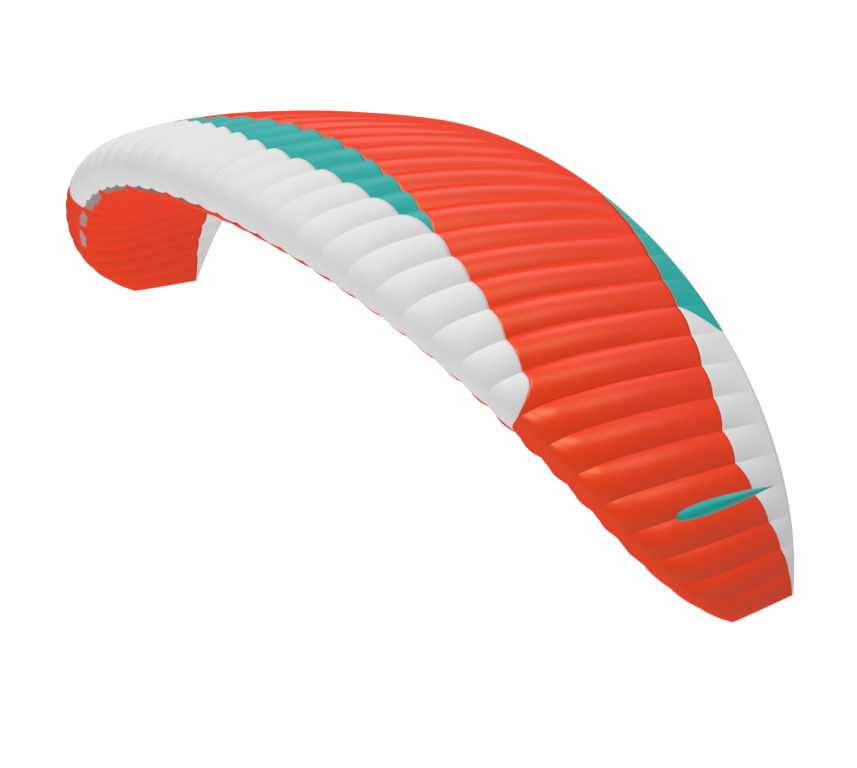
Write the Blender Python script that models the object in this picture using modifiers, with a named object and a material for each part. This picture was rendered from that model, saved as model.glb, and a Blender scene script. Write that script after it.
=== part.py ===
"""Inflated paraglider wing: a double-skin cloth canopy held in shape by its profile ribs.

Metres, +Z up. X runs along the span and -Y is the way the wing flies, so the port side is +X.
A place on the wing is a pair (a, q). a runs from -1 at the starboard tip to 1 at the port tip,
along the arc. q runs from -1 at the lower skin's trailing edge over 0 at the nose to 1 at the
upper skin's trailing edge, and q * q is the fraction of the chord behind the nose.
The origin lies on the lower skin under the middle rib, where the lines would pull.
"""

import math

import bmesh
import bpy
import numpy as np
from mathutils import Matrix

# Plan and arc of the flat wing
HALF_SPAN = 5.5
ROOT_CHORD = 2.993
CELLS = 40
CENTRE = CELLS // 2
# Each of these is a sum of coefficient * s ** power, with s = 0 in the middle and 1 at a tip
RIB_PLACES = ((1, 1.1015), (3, -0.0359), (5, -0.0656))
ARC_LEAN = ((1, 0.8012), (3, 0.3999), (5, -0.2122), (7, 0.4502))
NOSE_SWEEP = ((2, 1.3385), (4, -0.2656), (6, 0.2656), (16, 0.4470))
CHORD_LOSS = ((2, 0.5726), (4, -0.0085), (6, 0.0347), (16, 0.1646))
TWIST = ((2, 0.0006), (4, 0.1011))
TWIST_PIVOT = 0.3

# Profile, in fractions of the chord
THICKNESS = 0.2241
CAMBER = -0.0239
CAMBER_PLACE = 0.3
BELLY_FLATTENING = 0.45
BELLY_START = 0.04
BELLY_LENGTH = 0.46
TIP_POWER = 20
TIP_THICKNESS = 0.1
DATUM_PLACE = 0.3

# Cloth
SKIN = 0.001
RIB_CLOTH = 0.001
SEAM_GAP = 0.0008
RIB_GAP = 0.0008
EDGE_HALF_HEIGHT = 0.0012
EDGE_FADE = 0.2
UPPER_BILLOW = 0.11
LOWER_BILLOW = 0.09
BILLOW_FADE = 4
NOSE_BILLOW = 0.35
NOSE_BILLOW_END = 0.09
CELL_STRIPS = 3

# Chordwise seams, in fractions of the chord
NOSE_LIP = 0.04
RIB_END = 0.95
NOSE_ROWS = 6
BAND_ROWS = 2
MAIN_ROWS = 5
BELLY_ROWS = 4

# Ribs counted from the nearest tip, where the panels change
FIRST_INTAKE = 4
FIRST_NOSE_PANEL = 8
FIRST_TAIL_TEAL = 9
LAST_LOWER_TAIL = 10
FIRST_BAND = 14
LAST_TAIL_TEAL = 15
WINGLET_RIB = 4

# rib from the tip | rear of nose panel | rear of band | front of tail | tail's colour change
UPPER_SEAMS = (
    (0, 0.100, 0.300, 0.985, 0.993),
    (1, 0.100, 0.300, 0.930, 0.965),
    (2, 0.100, 0.300, 0.865, 0.932),
    (3, 0.100, 0.300, 0.810, 0.905),
    (4, 0.100, 0.300, 0.760, 0.880),
    (5, 0.100, 0.300, 0.720, 0.860),
    (6, 0.100, 0.300, 0.730, 0.865),
    (7, 0.100, 0.300, 0.770, 0.885),
    (8, 0.015, 0.300, 0.800, 0.900),
    (9, 0.110, 0.300, 0.840, 0.993),
    (10, 0.150, 0.300, 0.865, 0.871),
    (11, 0.190, 0.300, 0.890, 0.945),
    (12, 0.220, 0.300, 0.920, 0.960),
    (13, 0.245, 0.290, 0.950, 0.975),
    (14, 0.272, 0.278, 0.975, 0.988),
    (15, 0.247, 0.315, 0.990, 0.995),
    (16, 0.236, 0.340, 0.960, 0.980),
    (17, 0.226, 0.360, 0.950, 0.975),
    (18, 0.216, 0.378, 0.950, 0.975),
    (19, 0.207, 0.386, 0.950, 0.975),
    (20, 0.200, 0.390, 0.950, 0.975),
)
# rib from the tip | rear of the intakes
INTAKE_REARS = (
    (0, 0.065),
    (8, 0.065),
    (11, 0.085),
    (14, 0.100),
    (20, 0.100),
)
# rib from the tip | front of the lower tail panel
LOWER_SEAMS = (
    (0, 0.985),
    (1, 0.935),
    (2, 0.880),
    (3, 0.845),
    (4, 0.820),
    (5, 0.800),
    (6, 0.790),
    (7, 0.790),
    (8, 0.800),
    (9, 0.830),
    (10, 0.990),
    (11, 0.900),
    (20, 0.880),
)

# Winglet: height above the seam | front | rear, in chord fractions | share of the half width
WINGLET_HEIGHT = 0.22
WINGLET_HALF_WIDTH = 0.053
WINGLET_LIFT = 0.0013
WINGLET_BLUNTNESS = 0.36
FOOT_MARGIN = 0.005
WINGLET_SECTIONS = (
    (0.00, 0.236, 0.800, 0.05),
    (0.12, 0.236, 0.800, 0.74),
    (0.35, 0.240, 0.799, 1.00),
    (0.65, 0.325, 0.796, 0.88),
    (0.88, 0.410, 0.792, 0.58),
    (1.00, 0.490, 0.788, 0.08),
)

RED = (0.80, 0.075, 0.025)
WHITE = (0.78, 0.78, 0.78)
TEAL = (0.03, 0.42, 0.38)
RIB_WHITE = (0.60, 0.60, 0.61)

ARC_STEPS = 400
DIFFERENCE = 0.0005


def power_sum(terms, s):
    return sum(factor * s**power for power, factor in terms)


def arc_table():
    """Distance along the arc, and the place and lean of the rib planes there."""
    s = np.linspace(0.0, 1.0, ARC_STEPS + 1)
    lean = power_sum(ARC_LEAN, s)
    step = HALF_SPAN / ARC_STEPS
    across = np.cos(lean)
    down = np.sin(lean)
    x = np.concatenate(([0.0], np.cumsum((across[1:] + across[:-1]) / 2))) * step
    z = np.concatenate(([0.0], np.cumsum((down[1:] + down[:-1]) / 2))) * -step
    return s, x, z, lean


ARC = arc_table()


def arc_at(s):
    table, x, z, lean = ARC
    return np.interp(s, table, x), np.interp(s, table, z), np.interp(s, table, lean)


def chord_at(s):
    return ROOT_CHORD * (1.0 - power_sum(CHORD_LOSS, s))


def tip_thinning(s):
    return np.sqrt(1.0 - (1.0 - TIP_THICKNESS**2) * s**TIP_POWER)


def profile(q):
    """Height of the skin over the chord line, in fractions of the chord."""
    x = q * q
    half = 0.2969 * np.abs(q) - 0.1260 * x - 0.3516 * x**2 + 0.2843 * x**3 - 0.1036 * x**4
    half = 5.0 * THICKNESS * half
    p = CAMBER_PLACE
    front = CAMBER / p**2 * (2 * p * x - x**2)
    rear = CAMBER / (1 - p) ** 2 * ((1 - 2 * p) + 2 * p * x - x**2)
    camber = np.where(x < p, front, rear)
    ramp = np.clip((x - BELLY_START) / BELLY_LENGTH, 0.0, 1.0)
    belly = (camber - half) * (1.0 - BELLY_FLATTENING * ramp * ramp * (3.0 - 2.0 * ramp))
    return np.where(q >= 0.0, camber + half, belly)


def section_point(s, q):
    """Place in the rib plane at s: y, and the height over the arc, with the twist in it."""
    chord = chord_at(s)
    pivot = TWIST_PIVOT * chord
    twist = power_sum(TWIST, s)
    along = q * q * chord - pivot
    height = profile(q) * chord * tip_thinning(s)
    height = height + EDGE_HALF_HEIGHT * np.clip(q / EDGE_FADE, -1.0, 1.0)
    y = along * np.cos(twist) + height * np.sin(twist) + pivot + power_sum(NOSE_SWEEP, s)
    return y, height * np.cos(twist) - along * np.sin(twist)


def smooth_point(a, q):
    """Place on the outer face of the wing without the swelling between the ribs."""
    s = np.abs(a)
    x, z, lean = arc_at(s)
    y, height = section_point(s, q)
    across = np.where(a < 0.0, -1.0, 1.0) * (x + height * np.sin(lean))
    return np.stack((across, y + 0.0 * x, z + height * np.cos(lean)), axis=-1)


DATUM = smooth_point(np.array(0.0), np.array(-math.sqrt(DATUM_PLACE)))


def rib_place(j):
    """a of rib j, counted from the starboard tip; j may lie between two ribs."""
    low = int(min(math.floor(j), CELLS - 1))
    ends = [power_sum(RIB_PLACES, (k - CENTRE) / CENTRE) for k in (low, low + 1)]
    return ends[0] + (ends[1] - ends[0]) * (j - low)


def billow(j, q):
    """Height of the swelling at rib coordinate j, zero on the ribs and the trailing edge."""
    low = int(min(math.floor(j), CELLS - 1))
    share = j - low
    width = (rib_place(low + 1) - rib_place(low)) * HALF_SPAN
    ramp = np.clip(q / math.sqrt(NOSE_BILLOW_END), 0.0, 1.0)
    upper = UPPER_BILLOW * (NOSE_BILLOW + (1.0 - NOSE_BILLOW) * ramp * ramp * (3.0 - 2.0 * ramp))
    fullness = np.where(q > -math.sqrt(NOSE_LIP) - DIFFERENCE, upper, LOWER_BILLOW)
    fade = 1.0 - (q * q) ** BILLOW_FADE
    thin = tip_thinning(abs(rib_place(j)))
    return 4.0 * share * (1.0 - share) * width * fullness * fade * thin


def skin_points(j, q):
    """Outer face of the skin at rib coordinate j for an array of q."""
    a = np.full_like(q, rib_place(j))
    along_span = smooth_point(a + DIFFERENCE, q) - smooth_point(a - DIFFERENCE, q)
    along_chord = smooth_point(a, q + DIFFERENCE) - smooth_point(a, q - DIFFERENCE)
    outward = np.cross(along_span, along_chord)
    outward /= np.linalg.norm(outward, axis=1)[:, None]
    return smooth_point(a, q) + outward * billow(j, q)[:, None] - DATUM


def from_tip(j):
    return min(j, CELLS - j)


def seam_at(table, column, j):
    rows = np.array(table)
    return float(np.interp(from_tip(j), rows[:, 0], rows[:, column]))


def root(fraction):
    return math.sqrt(fraction)


def spread(ends, counts):
    """q from each end to the next in equal steps."""
    stations = [ends[0]]
    for start, end, count in zip(ends, ends[1:], counts):
        stations += [start + (end - start) * k / count for k in range(1, count + 1)]
    return np.array(stations)


def upper_stations(j):
    nose, band, tail, split = (root(seam_at(UPPER_SEAMS, k, j)) for k in (1, 2, 3, 4))
    ends = (-root(NOSE_LIP), nose, band, tail, split, 1.0)
    return spread(ends, (NOSE_ROWS, BAND_ROWS, MAIN_ROWS, 1, 1))


def lower_stations(j):
    tail = root(seam_at(LOWER_SEAMS, 1, j))
    rear = root(seam_at(INTAKE_REARS, 1, j))
    ends = (-1.0, -tail, -rear, -root(NOSE_LIP))
    return spread(ends, (1, BELLY_ROWS, 1))


def side_name(cell):
    return "starboard" if cell < CENTRE else "port"


def upper_panel(cell, row):
    """Name of the panel that a patch of the upper skin belongs to."""
    out = min(cell, CELLS - 1 - cell)
    side = side_name(cell)
    tail = row - NOSE_ROWS - BAND_ROWS - MAIN_ROWS
    if tail >= 0 and out < LAST_TAIL_TEAL:
        teal = out > FIRST_TAIL_TEAL or (out == FIRST_TAIL_TEAL and tail == 1)
        return f"tail_teal_{side}" if teal else f"tail_white_{side}"
    if out < FIRST_NOSE_PANEL:
        return f"tip_upper_{side}"
    if row < NOSE_ROWS:
        return f"nose_panel_{side}"
    if row < NOSE_ROWS + BAND_ROWS and out >= FIRST_BAND:
        return "band_panel"
    return "main_upper"


def lower_panel(cell, row):
    """Name of the panel that a patch of the lower skin belongs to, or None at an intake."""
    out = min(cell, CELLS - 1 - cell)
    side = side_name(cell)
    if row == 0 and out < LAST_LOWER_TAIL:
        return f"tail_lower_{side}"
    if out < FIRST_INTAKE:
        return f"tip_lower_{side}"
    if row > BELLY_ROWS:
        return None
    return f"main_lower_{side_name(cell)}"


def gather_panels(stations, panel_of):
    """Corner points of the skin, and each panel's patches as four indices into them."""
    columns = []
    for step in range(CELLS * CELL_STRIPS + 1):
        j = step / CELL_STRIPS
        columns.append(skin_points(j, stations(j)))
    rows = len(columns[0])
    patches = {}
    for step in range(CELLS * CELL_STRIPS):
        for row in range(rows - 1):
            name = panel_of(step // CELL_STRIPS, row)
            first = step * rows + row
            patch = (first, first + rows, first + rows + 1, first + 1)
            if name:
                patches.setdefault(name, []).append(patch)
    return np.concatenate(columns), patches


def add_material(name, colour, roughness):
    material = bpy.data.materials.new(name)
    material.use_nodes = True
    shader = material.node_tree.nodes["Principled BSDF"]
    shader.inputs["Base Color"].default_value = (*colour, 1.0)
    shader.inputs["Roughness"].default_value = roughness
    return material


def add_object(name, data, material, collection):
    data.materials.append(material)
    thing = bpy.data.objects.new(name, data)
    collection.objects.link(thing)
    return thing


def add_skin_panel(name, points, patches, material, collection):
    """One cut panel: an open surface, drawn in at its seams and given the cloth's thickness."""
    cage = bmesh.new()
    corners = {}
    for patch in patches:
        for k in patch:
            if k not in corners:
                corners[k] = cage.verts.new(points[k])
        cage.faces.new([corners[k] for k in patch])
    cage.normal_update()
    margin = bmesh.ops.inset_region(
        cage, faces=cage.faces[:], thickness=SEAM_GAP / 2, use_boundary=True, use_even_offset=True
    )
    bmesh.ops.delete(cage, geom=margin["faces"], context="FACES")
    mesh = bpy.data.meshes.new(name)
    cage.to_mesh(mesh)
    cage.free()
    panel = add_object(name, mesh, material, collection)
    cloth = panel.modifiers.new("cloth", "SOLIDIFY")
    cloth.thickness = SKIN
    cloth.offset = -1.0
    cloth.use_even_offset = True
    return panel


def drawn_in(outline, distance):
    """The closed outline moved inwards by a distance; it runs anticlockwise."""
    before = np.roll(outline, 1, axis=0)
    after = np.roll(outline, -1, axis=0)
    moved = []
    for past, here, ahead in zip(before, outline, after):
        inward = []
        for start, end in ((past, here), (here, ahead)):
            run = (end - start) / np.linalg.norm(end - start)
            inward.append(np.array((-run[1], run[0])))
        middle = inward[0] + inward[1]
        moved.append(here + middle * distance / (1.0 + inward[0] @ inward[1]))
    return np.array(moved)


def rib_outline(j):
    """The rib's edge in its own plane, inside both skins' facets and anticlockwise."""
    s = abs(rib_place(j))
    lower = lower_stations(j)[:-1]
    upper = upper_stations(j)
    ends = []
    for stations in (lower[::-1], upper):
        fractions = stations * stations
        last = int(np.argmax(fractions > RIB_END)) - 1
        points = np.stack(section_point(s, stations), axis=1)
        share = (RIB_END - fractions[last]) / (fractions[last + 1] - fractions[last])
        cut = points[last] + (points[last + 1] - points[last]) * share
        ends.append(np.vstack((points[: last + 1], cut)))
    outline = np.vstack((ends[1][::-1], ends[0]))
    rise = power_sum(NOSE_SWEEP, s + DIFFERENCE) - power_sum(NOSE_SWEEP, s)
    slant = math.hypot(1.0, rise / (DIFFERENCE * HALF_SPAN))
    return drawn_in(outline, (SKIN + RIB_GAP) * slant)


def rib_plane(j):
    """Matrix that carries (y, height) of a rib's plane to its place on the wing."""
    a = rib_place(j)
    side = -1.0 if a < 0.0 else 1.0
    x, z, lean = (float(v) for v in arc_at(abs(a)))
    height = (side * math.sin(lean), 0.0, math.cos(lean))
    across = (math.cos(lean), 0.0, -side * math.sin(lean))
    place = (side * x - DATUM[0], -DATUM[1], z - DATUM[2])
    rows = [(0.0, height[0], across[0], place[0]), (1.0, height[1], across[1], place[1])]
    rows += [(0.0, height[2], across[2], place[2]), (0.0, 0.0, 0.0, 1.0)]
    return Matrix(rows)


def add_rib(j, material, collection):
    curve = bpy.data.curves.new(f"rib_{j:02d}", "CURVE")
    curve.dimensions = "2D"
    curve.fill_mode = "BOTH"
    curve.extrude = RIB_CLOTH / 2
    outline = rib_outline(j)
    spline = curve.splines.new("POLY")
    spline.points.add(len(outline) - 1)
    for point, (y, height) in zip(spline.points, outline):
        point.co = (y, height, 0.0, 1.0)
    spline.use_cyclic_u = True
    rib = add_object(curve.name, curve, material, collection)
    rib.matrix_world = rib_plane(j)
    return rib


def winglet_foot(j, fractions):
    """Points on the seam of rib j at chord fractions, along the skin's own facets."""
    stations = upper_stations(j)
    stations = stations[stations > 0.0]
    points = np.stack(section_point(abs(rib_place(j)), stations), axis=1)
    known = stations * stations
    return np.stack([np.interp(fractions, known, points[:, k]) for k in (0, 1)], axis=1)


def add_winglet(name, j, material, collection):
    """An air-filled fin, lofted from its foot in the seam of rib j to its top edge."""
    _, front, rear, _ = WINGLET_SECTIONS[0]
    known = upper_stations(j)
    known = known * np.abs(known)
    inner = [x for x in known if front + FOOT_MARGIN < x < rear - FOOT_MARGIN]
    foot = np.array([front, *inner, rear])
    share = (foot - front) / (rear - front)
    fullness = share**WINGLET_BLUNTNESS * (1.0 - share)
    fullness = fullness / fullness.max()
    plane = rib_plane(j)
    cage = bmesh.new()
    loops = []
    for height, fore, aft, width in WINGLET_SECTIONS:
        base = winglet_foot(j, fore + share * (aft - fore))
        base[:, 1] += WINGLET_LIFT + height * WINGLET_HEIGHT
        half = fullness * width * WINGLET_HALF_WIDTH
        ring = [(y, h, w) for (y, h), w in zip(base, half)]
        ring += [(y, h, -w) for y, h, w in ring[-2:0:-1]]
        loops.append([cage.verts.new(plane @ Matrix.Translation(p).translation) for p in ring])
    for lower, upper in zip(loops, loops[1:]):
        for k in range(len(lower)):
            n = (k + 1) % len(lower)
            cage.faces.new((lower[k], lower[n], upper[n], upper[k]))
    for loop in (loops[0], loops[-1]):
        for k in range(len(foot) - 1):
            corners = (loop[k], loop[k + 1], loop[-k - 1], loop[-k])
            cage.faces.new(dict.fromkeys(corners))
    bmesh.ops.recalc_face_normals(cage, faces=cage.faces[:])
    mesh = bpy.data.meshes.new(name)
    cage.to_mesh(mesh)
    cage.free()
    return add_object(name, mesh, material, collection)


def clear_scene():
    for thing in list(bpy.data.objects):
        bpy.data.objects.remove(thing, do_unlink=True)


def main():
    clear_scene()
    wing = bpy.data.collections.new("paraglider_wing")
    bpy.context.scene.collection.children.link(wing)
    red = add_material("red_cloth", RED, 0.5)
    white = add_material("white_cloth", WHITE, 0.5)
    teal = add_material("teal_cloth", TEAL, 0.5)
    inner = add_material("rib_cloth", RIB_WHITE, 0.6)

    for stations, panel_of in ((upper_stations, upper_panel), (lower_stations, lower_panel)):
        points, panels = gather_panels(stations, panel_of)
        for name, patches in panels.items():
            colour = red
            if name.startswith(("nose", "tail_white", "tail_lower")):
                colour = white
            elif name.startswith(("band", "tail_teal")):
                colour = teal
            add_skin_panel(name, points, patches, colour, wing)

    for j in range(1, CELLS):
        add_rib(j, inner, wing)
    add_winglet("winglet_starboard", WINGLET_RIB, teal, wing)
    add_winglet("winglet_port", CELLS - WINGLET_RIB, teal, wing)


main()
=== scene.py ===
"""Looks of an inflated paraglider wing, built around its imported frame.

Metres, +Z up. X runs along the span, port is +X, and -Y is the way the wing flies. A place on
the wing is a pair (a, q): a runs from -1 at the starboard tip to 1 at the port tip, and q from
-1 at the lower trailing edge over 0 at the nose to 1 at the upper one. q * q is the fraction
of the chord behind the nose, and s is a without its sign. j counts ribs from the starboard
tip, and may lie between two ribs.
"""

import math

import bmesh
import bpy
import numpy as np
from mathutils import Euler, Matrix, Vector

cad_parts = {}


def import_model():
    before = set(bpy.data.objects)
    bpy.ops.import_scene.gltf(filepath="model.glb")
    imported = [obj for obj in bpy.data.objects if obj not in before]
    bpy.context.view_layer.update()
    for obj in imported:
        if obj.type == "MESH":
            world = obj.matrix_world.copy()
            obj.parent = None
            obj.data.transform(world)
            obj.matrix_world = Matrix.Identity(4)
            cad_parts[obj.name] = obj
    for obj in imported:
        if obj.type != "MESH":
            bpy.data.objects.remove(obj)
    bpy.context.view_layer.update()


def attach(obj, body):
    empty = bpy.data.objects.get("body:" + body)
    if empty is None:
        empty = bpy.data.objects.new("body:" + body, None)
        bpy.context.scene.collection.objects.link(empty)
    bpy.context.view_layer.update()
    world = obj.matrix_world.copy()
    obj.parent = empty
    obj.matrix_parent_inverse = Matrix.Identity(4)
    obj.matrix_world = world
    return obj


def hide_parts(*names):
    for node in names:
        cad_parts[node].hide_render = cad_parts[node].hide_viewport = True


# Plan, arc and profile, as in the frame. A pair is a power of s and its factor. CHORD_LOSS is
# a share of the root chord, and leans and twists are in radians.
HALF_SPAN = 5.5
ROOT_CHORD = 2.993
CELLS = 40
CENTRE = CELLS // 2
RIB_PLACES = ((1, 1.1015), (3, -0.0359), (5, -0.0656))
ARC_LEAN = ((1, 0.8012), (3, 0.3999), (5, -0.2122), (7, 0.4502))
NOSE_SWEEP = ((2, 1.3385), (4, -0.2656), (6, 0.2656), (16, 0.4470))
CHORD_LOSS = ((2, 0.5726), (4, -0.0085), (6, 0.0347), (16, 0.1646))
TWIST = ((2, 0.0006), (4, 0.1011))
TWIST_PIVOT = 0.3
THICKNESS = 0.2241
# Half the thickness of a wing 0.2 of its chord thick, which FORM_SCALE brings to 1: factors of
# the root of the chord fraction, of the fraction, and of its square, cube and fourth power
THICKNESS_FORM = (0.2969, -0.1260, -0.3516, 0.2843, -0.1036)
FORM_SCALE = 5.0
CAMBER = -0.0239
CAMBER_PLACE = 0.3
BELLY_FLATTENING = 0.45
BELLY_START = 0.04
BELLY_LENGTH = 0.46
TIP_POWER = 20
TIP_THICKNESS = 0.1
EDGE_HALF_HEIGHT = 0.0012
EDGE_FADE = 0.2
# Chord fraction of the point of the middle rib's lower edge that lies at the origin
DATUM_PLACE = 0.3
# Steps of the table of the arc, and the step for slopes
ARC_STEPS = 2000
DIFFERENCE = 0.0005
# The lower skin loses this share of its flattening between these places along the half span,
# which leaves it rounder at the tips than the frame's
ROUNDER_TIPS = 0.65
ROUNDER_SPAN = (0.35, 0.65)

# Thickness of the cloth, the gap that a rib keeps to the skins, and the chord fraction where
# the ribs end
SKIN = 0.0006
RIB_CLOTH = 0.0006
RIB_MARGIN = 0.0008
RIB_END = 0.95

# Swelling of the cells, as the height of the hump over the cell's width. At the nose it is
# NOSE_BILLOW of the upper skin's, and it is full again at NOSE_BILLOW_END of the chord. It
# fades on the trailing edge with a power of the chord fraction.
UPPER_BILLOW = 0.15
LOWER_BILLOW = 0.14
NOSE_BILLOW = 0.28
NOSE_BILLOW_END = 0.09
BILLOW_FADE = 4
# The hump is a parabola over the cell, and this brings its middle to 1
HUMP_SCALE = 4.0
# rib from the tip | chord fraction behind which the lower skin is fully swollen
LOWER_FULL = (
    (0, 0.065),
    (8, 0.065),
    (13, 0.120),
    (20, 0.120),
)

# Puckers beside the rib seams: their height, their pitch along the chord, how they drift along
# the span, how soon they start beside the seam and how close to it they stay
PUCKER = 0.0006
PUCKER_PITCH = 0.045
PUCKER_DRIFT = 40.0
PUCKER_ONSET = 9.0
PUCKER_POWER = 6.0

# Lower edge of the nose panel, cut back a little at each rib, in chord fractions
NOSE_LIP = 0.04
LIP_NOTCH = 0.034
NOTCH_POWER = 4

# Patches across each cell, and along each stretch of the chord
UPPER_COLUMNS = 12
LOWER_COLUMNS = 16
NOSE_ROWS = 44
BAND_ROWS = 14
MAIN_ROWS = 52
TAIL_ROWS = (10, 8)
BELLY_ROWS = 56
LOWER_TAIL_ROWS = 14
RIB_ROWS = 60

# Sewing: twin rows along the seams that join two panels, and one row inside each hem
THREAD = 0.0009
THREAD_FACETS = 4
THREAD_STAND = 0.3
STITCH_LENGTH = 0.0052
STITCH_PITCH = 0.0070
TWIN_ROWS = (-0.003, 0.003)
HEM = 0.010
SEAM_STEPS = 16

# Ribs from the tip at which a part of the cut begins or ends
FIRST_INTAKE = 4
FIRST_NOSE_PANEL = 8
FIRST_TAIL_TEAL = 9
LAST_LOWER_TAIL = 10
FIRST_BAND = 14
LAST_TAIL_TEAL = 15
WINGLET_RIB = 4

# Intakes: ribs from the tip between which each group of mouths lies, the half width, in cells,
# of the tongues of lower cloth between the groups, and how square a group's ends are
MOUTH_GROUPS = (4, 6, 8, 11, 14, 17, 20)
WIDE_TONGUE = 0.25
MOUTH_POWER = 8

# Chin: the lower skin stands out a little behind the intakes, in fractions of the chord, and
# less and less between the last two places along the half span
CHIN = 0.0035
CHIN_RISE = (0.035, 0.060)
CHIN_FALL = (0.08, 0.29)
CHIN_END = (0.62, 0.78)

# Columns of UPPER_SEAMS
NOSE_REAR = 1
BAND_REAR = 2
TAIL_FRONT = 3
TAIL_SPLIT = 4
# rib from the tip | rear of nose panel | rear of band | front of tail | tail's colour change
UPPER_SEAMS = (
    (0, 0.100, 0.300, 0.985, 0.993),
    (1, 0.100, 0.300, 0.930, 0.965),
    (2, 0.100, 0.300, 0.865, 0.932),
    (3, 0.100, 0.300, 0.810, 0.905),
    (4, 0.100, 0.300, 0.760, 0.880),
    (5, 0.100, 0.300, 0.720, 0.860),
    (6, 0.100, 0.300, 0.730, 0.865),
    (7, 0.100, 0.300, 0.770, 0.885),
    (8, 0.001, 0.300, 0.800, 0.900),
    (8.1, 0.018, 0.300, 0.804, 0.909),
    (8.25, 0.045, 0.300, 0.810, 0.923),
    (8.5, 0.081, 0.300, 0.820, 0.946),
    (8.75, 0.101, 0.300, 0.830, 0.970),
    (9, 0.110, 0.300, 0.840, 0.993),
    (10, 0.150, 0.300, 0.865, 0.871),
    (11, 0.190, 0.300, 0.890, 0.945),
    (12, 0.220, 0.300, 0.920, 0.960),
    (13, 0.245, 0.290, 0.950, 0.975),
    (14, 0.272, 0.278, 0.975, 0.988),
    (15, 0.247, 0.315, 0.990, 0.995),
    (16, 0.236, 0.340, 0.960, 0.980),
    (17, 0.226, 0.360, 0.950, 0.975),
    (18, 0.216, 0.378, 0.950, 0.975),
    (19, 0.207, 0.386, 0.950, 0.975),
    (20, 0.200, 0.390, 0.950, 0.975),
)
# rib from the tip | rear of the intakes
INTAKE_REARS = (
    (0, 0.064),
    (10, 0.064),
    (12, 0.055),
    (20, 0.053),
)
# rib from the tip | front of the lower tail panel
LOWER_SEAMS = (
    (0, 0.985),
    (1, 0.935),
    (2, 0.880),
    (3, 0.845),
    (4, 0.820),
    (5, 0.800),
    (6, 0.790),
    (7, 0.790),
    (8, 0.800),
    (9, 0.830),
    (10, 0.990),
    (11, 0.900),
    (20, 0.880),
)

# Winglet: its foot stands a little above the seam, clear of the skin
WINGLET_HEIGHT = 0.22
WINGLET_HALF_WIDTH = 0.053
WINGLET_LIFT = 0.0013
WINGLET_BLUNTNESS = 0.36
WINGLET_LEVELS = 22
WINGLET_STEPS = 48
# share of the height | front | rear, in chord fractions | share of the half width
WINGLET_SECTIONS = (
    (0.00, 0.236, 0.800, 0.05),
    (0.12, 0.236, 0.800, 0.74),
    (0.35, 0.240, 0.799, 1.00),
    (0.65, 0.325, 0.796, 0.88),
    (0.88, 0.410, 0.792, 0.58),
    (1.00, 0.490, 0.788, 0.08),
)

# Cloth: slot | name | colour | sheen | roughness | gloss | gloss where light grazes it
CLOTHS = (
    ("red_cloth", "red_ripstop", (0.86, 0.038, 0.004), (1.0, 0.82, 0.42), 0.36, 0.75, 0.02),
    ("white_cloth", "white_ripstop", (0.73, 0.73, 0.73), (1.0, 1.0, 1.0), 0.60, 0.30, 0.20),
    ("teal_cloth", "teal_ripstop", (0.004, 0.39, 0.36), (1.0, 1.0, 1.0), 0.45, 0.28, 0.28),
)
# How far cloth is turned from the eye where its gloss begins to fall, and where it is lowest
GLOSS_FALL = (0.25, 0.70)
FACING_BLEND = 0.5
# Grid of heavier threads: its pitch, the share of it that is thread, its shade and its relief
WEAVE_PITCH = 0.005
WEAVE_THREAD = 0.16
WEAVE_SHADE = 0.97
WEAVE_HEIGHT = 0.00005
WEAVE_BUMP = 0.4
# Clouds of lighter and darker cloth, and soft creases
UNEVEN_SHADE = 0.04
CLOUD_SCALE = 2.2
CLOUD_DETAIL = 3.0
CREASE_SCALE = 11.0
CREASE_DETAIL = 2.0
CREASE_HEIGHT = 0.002
CREASE_BUMP = 0.5

# Ribs and skins' inside: grey as painted shade, glow as painted light; the thread with its fine
# twist
RIB_GREY_PAINTED_SHADE = (0.31, 0.34, 0.34)
RIB_ROUGHNESS = 0.6
INNER_GLOW_PAINTED_LIGHT = 0.04
THREAD_WHITE = (0.62, 0.62, 0.61)
THREAD_ROUGHNESS = 0.7
YARN_SCALE = 900.0
YARN_DETAIL = 1.0
YARN_HEIGHT = 0.0001
YARN_BUMP = 0.5

# Camera
CAMERA_PLACE = (15.508, -10.156, 5.912)
CAMERA_TURN = (67.997, -0.527, 53.606)
LENS = 97.58
SENSOR = 36.0
CLIP_END = 1000.0

# Floor: painted shade, darker near the point below the wing, which keeps the light from below
# soft, and pale beyond the second distance
FLOOR_DROP = 30.0
FLOOR_SIZE = 600.0
FLOOR_NEAR_PAINTED_SHADE = (0.42, 0.42, 0.42)
FLOOR_FAR = (0.97, 0.97, 0.97)
FLOOR_RAMP = (22.0, 38.0)

# Sky: how much light it gives, and how pale it looks to the camera
SKY = 0.30
SEEN_SKY = 0.97

# Soft lamps, as wide as LAMP_ANGLE in degrees
LAMP_ANGLE = 25.0
# lamp | where its light comes from | strength | shows in gloss
LAMPS = (
    ("overhead_softbox", (0.0, 0.0, 1.0), 1.07, True),
    ("high_front_softbox", (0.0, -0.55, 0.84), 1.06, True),
    ("high_side_softbox", (-0.6, -0.2, 0.77), 0.21, True),
    ("high_rear_softbox", (0.1, 0.6, 0.8), 0.30, True),
    ("rear_softbox", (-0.56, 0.6, 0.5), 0.29, True),
    ("low_fill", (0.1, -0.25, -0.96), 1.05, False),
)

# From the nose to the trailing edge
CHORDWISE = np.array((0.0, 1.0, 0.0))


def power_sum(terms, s):
    """Sum of the terms' factors times their powers of s."""
    return sum(factor * s**power for power, factor in terms)


def arc_table():
    """Distance along the arc, and the place and lean of the rib planes there."""
    s = np.linspace(0.0, 1.0, ARC_STEPS + 1)
    lean = power_sum(ARC_LEAN, s)
    step = HALF_SPAN / ARC_STEPS
    across = np.cos(lean)
    down = np.sin(lean)
    x = np.concatenate(([0.0], np.cumsum((across[1:] + across[:-1]) / 2))) * step
    z = np.concatenate(([0.0], np.cumsum((down[1:] + down[:-1]) / 2))) * -step
    return s, x, z, lean


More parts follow.
